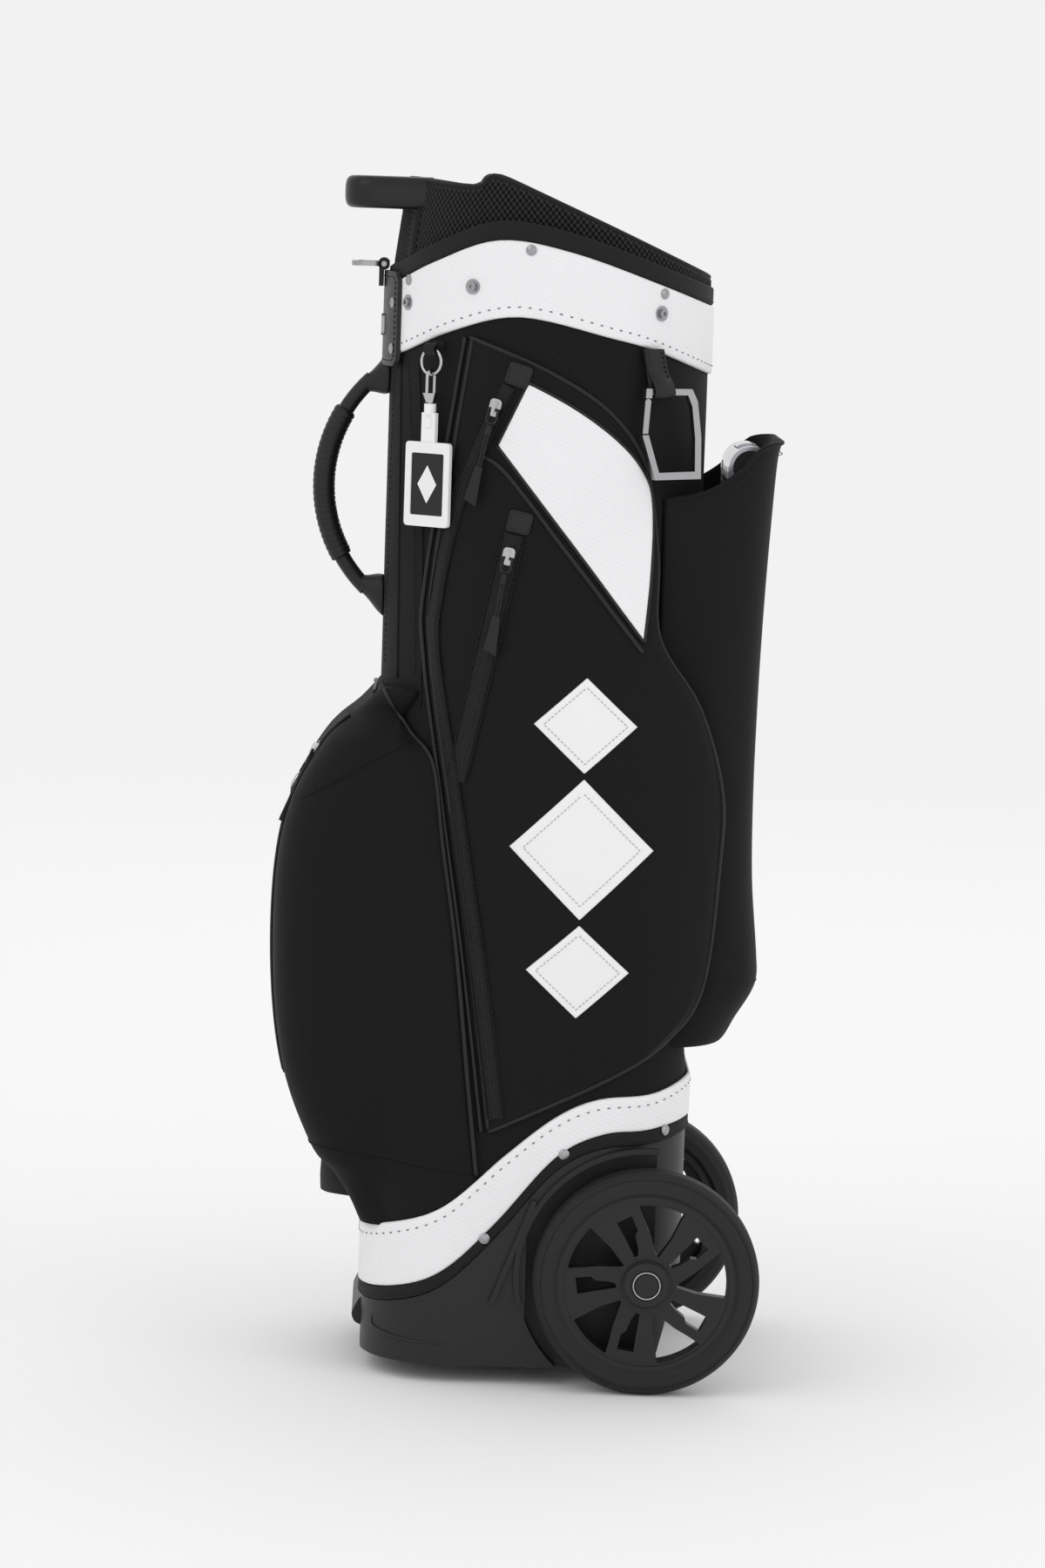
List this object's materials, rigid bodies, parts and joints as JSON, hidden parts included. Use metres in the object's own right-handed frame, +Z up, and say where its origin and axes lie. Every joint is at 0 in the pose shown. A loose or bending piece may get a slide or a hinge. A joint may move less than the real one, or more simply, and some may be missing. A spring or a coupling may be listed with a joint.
{
  "type": "wheeled golf bag",
  "caption": "Golf bag on a moulded base with road wheels, telescoping rear pull handle in a sleeve, zipped side and ball pockets, divided mouth and clip-on hardware.",
  "frame": {"origin": "centre of the overall box on the floor, below the bag", "axes": "+Z up, -X to the front (ball pocket and carry handle), +X to the back (pull handle and wheels), +Y across"},
  "size_m": [0.369, 0.2992, 0.895],
  "materials": {
    "base_plastic": "satin moulded",
    "webbing": "woven webbing",
    "white_leather": "embossed leatherette",
    "silver": "satin nickel",
    "foot_rubber": "matte",
    "tray_plastic": "moulded",
    "axle_steel": "turned",
    "liner_sheet": "sheet",
    "lining": "lining cloth",
    "shell_fabric": "fine woven nylon",
    "mouth_plastic": "moulded",
    "handle_plastic": "satin moulded",
    "spacer_mesh": "knitted spacer mesh",
    "black_leather": "smooth leatherette",
    "guide_alloy": "anodised",
    "tube_alloy": "anodised",
    "rim_plastic": "satin moulded",
    "tyre_rubber": "smooth solid tyre",
    "bearing_nylon": "turned nylon",
    "grip_silver": "gloss moulded",
    "grip_rubber": "soft",
    "chrome": "polished",
    "white_plastic": "satin"
  },
  "bodies": {
    "bag": {"base_shell": "base_plastic", "base_binding": "webbing", "base_band": "white_leather", "base_rivets": "silver", "front_foot": "foot_rubber", "floor_tray": "tray_plastic", "axle": "axle_steel", "axle_clips": "axle_steel", "liner_tube": "liner_sheet", "divider_sheets": "lining", "bag_shell": "shell_fabric", "divider_top": "mouth_plastic", "lift_handle": "handle_plastic", "mesh_collar": "spacer_mesh", "collar_binding": "webbing", "collar_band": "white_leather", "collar_rivets": "silver", "snap_studs": "silver", "front_tab": "black_leather", "front_badge": "silver", "grab_handle": "black_leather", "ball_pocket": "shell_fabric", "under_strap": "webbing", "left_pocket": "shell_fabric", "right_pocket": "shell_fabric", "side_panels": "white_leather", "zip_chains": "webbing", "sleeve": "shell_fabric", "guide_tubes": "guide_alloy", "guide_brackets": "mouth_plastic", "ring_mount": "black_leather", "tag_loop": "webbing", "carabiner_strap": "black_leather"},
    "left_wheel": {"left_rim": "rim_plastic", "left_tyre": "tyre_rubber", "left_bearing": "bearing_nylon", "left_cap": "rim_plastic"},
    "right_wheel": {"right_rim": "rim_plastic", "right_tyre": "tyre_rubber", "right_bearing": "bearing_nylon", "right_cap": "rim_plastic"},
    "pull_handle": {"handle_tubes": "tube_alloy", "grip_frame": "grip_silver", "grip_core": "grip_rubber"},
    "release_button": {"release_button": "grip_silver"},
    "towel_ring": {"towel_ring": "silver"},
    "carabiner": {"carabiner_frame": "silver"},
    "carabiner_gate": {"carabiner_gate": "silver"},
    "tag_ring": {"tag_ring": "chrome"},
    "tag_hook": {"snap_hook": "chrome"},
    "tag": {"tag_strap": "white_leather", "tag_plate": "white_plastic"},
    "ball_slider": {"ball_slider": "chrome"},
    "ball_pull": {"ball_pull": "grip_rubber"},
    "left_main_slider": {"left_main_slider": "chrome"},
    "left_main_pull": {"left_main_pull": "grip_rubber"},
    "left_small_slider": {"left_small_slider": "chrome"},
    "left_small_pull": {"left_small_pull": "grip_rubber"},
    "right_main_slider": {"right_main_slider": "chrome"},
    "right_main_pull": {"right_main_pull": "grip_rubber"}
  },
  "joints": [
    {"name": "left_wheel_spin", "type": "hinge", "parent": "bag", "child": "left_wheel", "pos_m": [0.1005, -0.131, 0.084], "axis": [0, 1, 0], "continuous": true},
    {"name": "right_wheel_spin", "type": "hinge", "parent": "bag", "child": "right_wheel", "pos_m": [0.1005, 0.131, 0.084], "axis": [0, 1, 0], "continuous": true},
    {"name": "pull_handle_slide", "type": "slide", "parent": "bag", "child": "pull_handle", "axis": [0, 0, 1], "range_m": [0, 0.34]},
    {"name": "release_button_press", "type": "slide", "parent": "pull_handle", "child": "release_button", "axis": [0, 0, -1], "range_m": [0, 0.0028], "stiffness_N_per_m": 400, "springref_m": -0.002},
    {"name": "towel_ring_swing", "type": "hinge", "parent": "bag", "child": "towel_ring", "pos_m": [-0.1165, 0, 0.826], "axis": [0, 1, 0], "range_deg": [-60, 60]},
    {"name": "carabiner_swing", "type": "hinge", "parent": "bag", "child": "carabiner", "pos_m": [0.09082, -0.10129, 0.7407], "axis": [0.8829, 0.4695, 0], "range_deg": [-75, 0]},
    {"name": "carabiner_gate_hinge", "type": "hinge", "parent": "carabiner", "child": "carabiner_gate", "pos_m": [0.07934, -0.10739, 0.733], "axis": [-0.4695, 0.8829, 0], "range_deg": [-25, 0], "stiffness_Nm_per_rad": 0.02, "springref_deg": 5.73},
    {"name": "tag_ring_swing", "type": "hinge", "parent": "bag", "child": "tag_ring", "pos_m": [-0.079, -0.093, 0.7663], "axis": [0.766, -0.6428, 0], "range_deg": [-70, 0]},
    {"name": "tag_hook_sway", "type": "hinge", "parent": "tag_ring", "child": "tag_hook", "pos_m": [-0.079, -0.093, 0.757], "axis": [0.6428, 0.766, 0], "range_deg": [-3, 30]},
    {"name": "tag_swivel", "type": "hinge", "parent": "tag_hook", "child": "tag", "pos_m": [-0.079, -0.093, 0.757], "axis": [0, 0, 1], "range_deg": [-10, 10]},
    {"name": "left_main_zip", "type": "slide", "parent": "bag", "child": "left_main_slider", "axis": [-0.2792, 0.1204, -0.9526], "range_m": [0, 0.06]},
    {"name": "left_main_pull_swing", "type": "hinge", "parent": "left_main_slider", "child": "left_main_pull", "pos_m": [-0.03279, -0.12145, 0.72454], "axis": [0.921, -0.318, -0.225], "range_deg": [-75, 0]},
    {"name": "left_small_zip", "type": "slide", "parent": "bag", "child": "left_small_slider", "axis": [-0.1925, 0.0641, -0.9792], "range_m": [0, 0.12]},
    {"name": "left_small_pull_swing", "type": "hinge", "parent": "left_small_slider", "child": "left_small_pull", "pos_m": [-0.01922, -0.12556, 0.61652], "axis": [0.9632, -0.2185, -0.1564], "range_deg": [-75, 0]},
    {"name": "right_main_zip", "type": "slide", "parent": "bag", "child": "right_main_slider", "axis": [-0.2792, -0.1204, -0.9526], "range_m": [0, 0.06]},
    {"name": "right_main_pull_swing", "type": "hinge", "parent": "right_main_slider", "child": "right_main_pull", "pos_m": [-0.03279, 0.12145, 0.72454], "axis": [-0.921, -0.318, 0.225], "range_deg": [-75, 0]},
    {"name": "ball_zip", "type": "slide", "parent": "bag", "child": "ball_slider", "axis": [-0.4226, 0, -0.9063], "range_m": [0, 0.04]},
    {"name": "ball_pull_swing", "type": "hinge", "parent": "ball_slider", "child": "ball_pull", "pos_m": [-0.15901, -0.04, 0.46254], "axis": [0, -1, 0], "range_deg": [-75, 0]}
  ]
}
